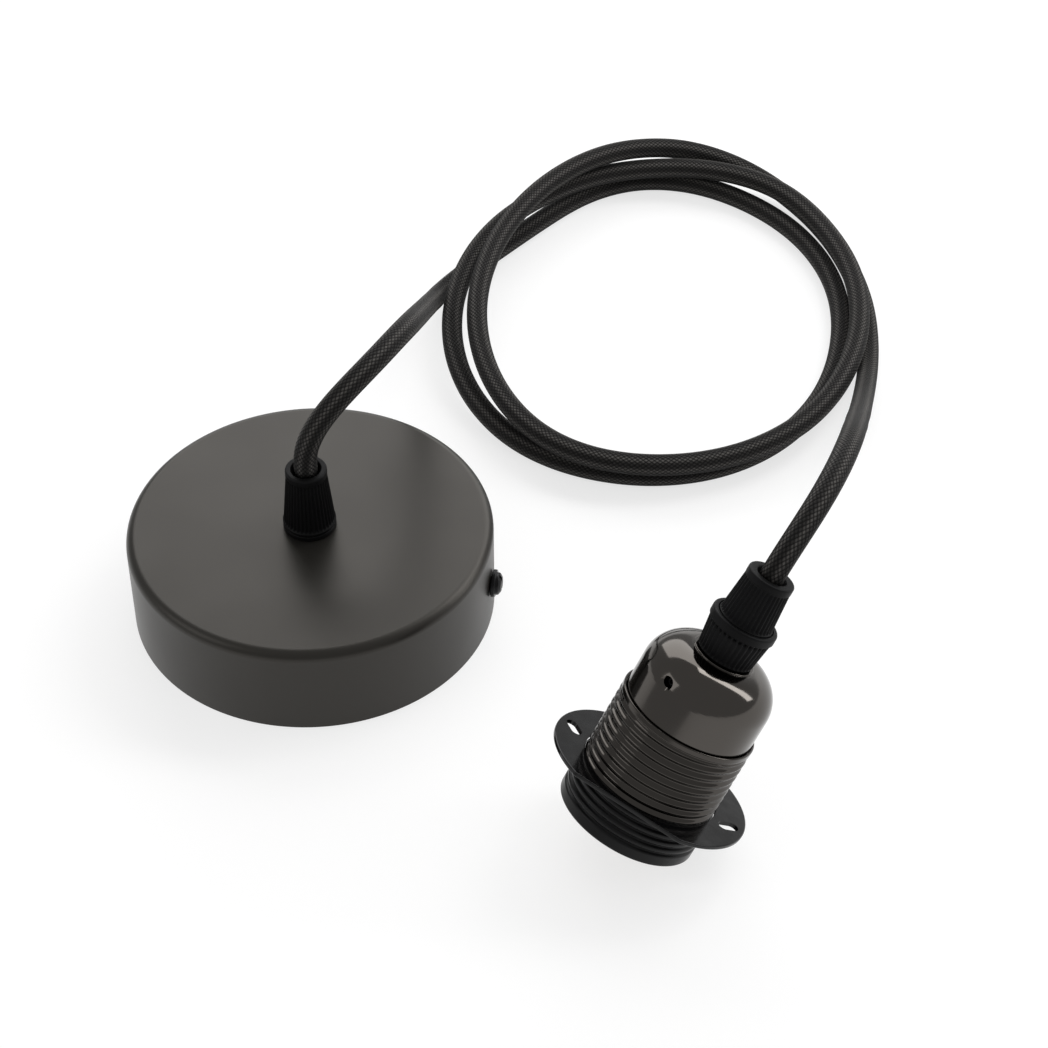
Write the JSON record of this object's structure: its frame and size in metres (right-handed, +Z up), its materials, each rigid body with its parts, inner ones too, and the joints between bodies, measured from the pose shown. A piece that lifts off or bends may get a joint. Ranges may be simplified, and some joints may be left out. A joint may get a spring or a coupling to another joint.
{
  "type": "pendant light fitting",
  "caption": "Black pendant light fitting: round flat ceiling cup with a cord grip, fabric-covered flex lying in a loose coil, and a metal-capped threaded lamp holder with a slotted shade ring",
  "frame": {"origin": "on the surface the fitting lies on, at the middle of the box round the cup and the holder, free flex left out", "axes": "+Z up, out of the ceiling cup's top; +X from the cup towards the holder; +Y towards the coil of flex"},
  "size_m": [0.2354, 0.3343, 0.099],
  "materials": {
    "cup_paint": "satin black paint on spun steel",
    "black_screw": "black-plated steel",
    "zinc_steel": "bright zinc-plated steel",
    "block_nylon": "natural white nylon",
    "brass": "plain brass",
    "grip_nylon": "black nylon",
    "flex_braid": "black woven textile braid",
    "core_brown": "brown insulated core",
    "core_blue": "blue insulated core",
    "core_green": "green and yellow insulated core",
    "ring_plastic": "satin black moulded plastic",
    "black_nickel": "polished black-nickel plate",
    "insert_ceramic": "glazed white ceramic"
  },
  "bodies": {
    "root": {"ceiling_cup": "cup_paint", "side_screw_right": "black_screw", "side_screw_left": "black_screw", "mounting_strap": "zinc_steel", "terminal_block": "block_nylon", "terminal_tube_1": "brass", "terminal_tube_2": "brass", "terminal_tube_3": "brass", "terminal_screw_1": "brass", "terminal_screw_2": "brass", "terminal_screw_3": "brass", "terminal_screw_4": "brass", "terminal_screw_5": "brass", "terminal_screw_6": "brass", "terminal_block_screw": "zinc_steel", "earth_tag": "brass", "earth_screw": "zinc_steel", "cup_grip_body": "grip_nylon", "cup_grip_nut": "grip_nylon", "cup_grip_washer": "zinc_steel", "cup_grip_lock_nut": "zinc_steel", "cup_flex_tail": "flex_braid", "cup_core_live": "core_brown", "cup_core_neutral": "core_blue", "cup_core_earth": "core_green", "earth_link": "core_green", "lower_ring": "ring_plastic", "ear_ring": "ring_plastic", "threaded_sleeve": "black_nickel", "holder_cap": "black_nickel", "cap_grub_screw": "black_screw", "holder_grip_body": "grip_nylon", "holder_grip_nut": "grip_nylon", "holder_grip_washer": "zinc_steel", "holder_lock_nut": "zinc_steel", "holder_flex_tail": "flex_braid", "insert_bridge": "zinc_steel", "lamp_insert": "insert_ceramic", "insert_screw_1": "zinc_steel", "insert_screw_2": "zinc_steel", "lamp_screw_shell": "brass", "centre_contact": "brass", "holder_terminal_live": "brass", "holder_terminal_neutral": "brass", "holder_terminal_earth": "brass", "holder_live_screw": "brass", "holder_neutral_screw": "brass", "holder_earth_screw": "brass", "holder_core_live": "core_brown", "holder_core_neutral": "core_blue", "holder_core_earth": "core_green", "flex_cord": "flex_braid"}
  },
  "joints": []
}
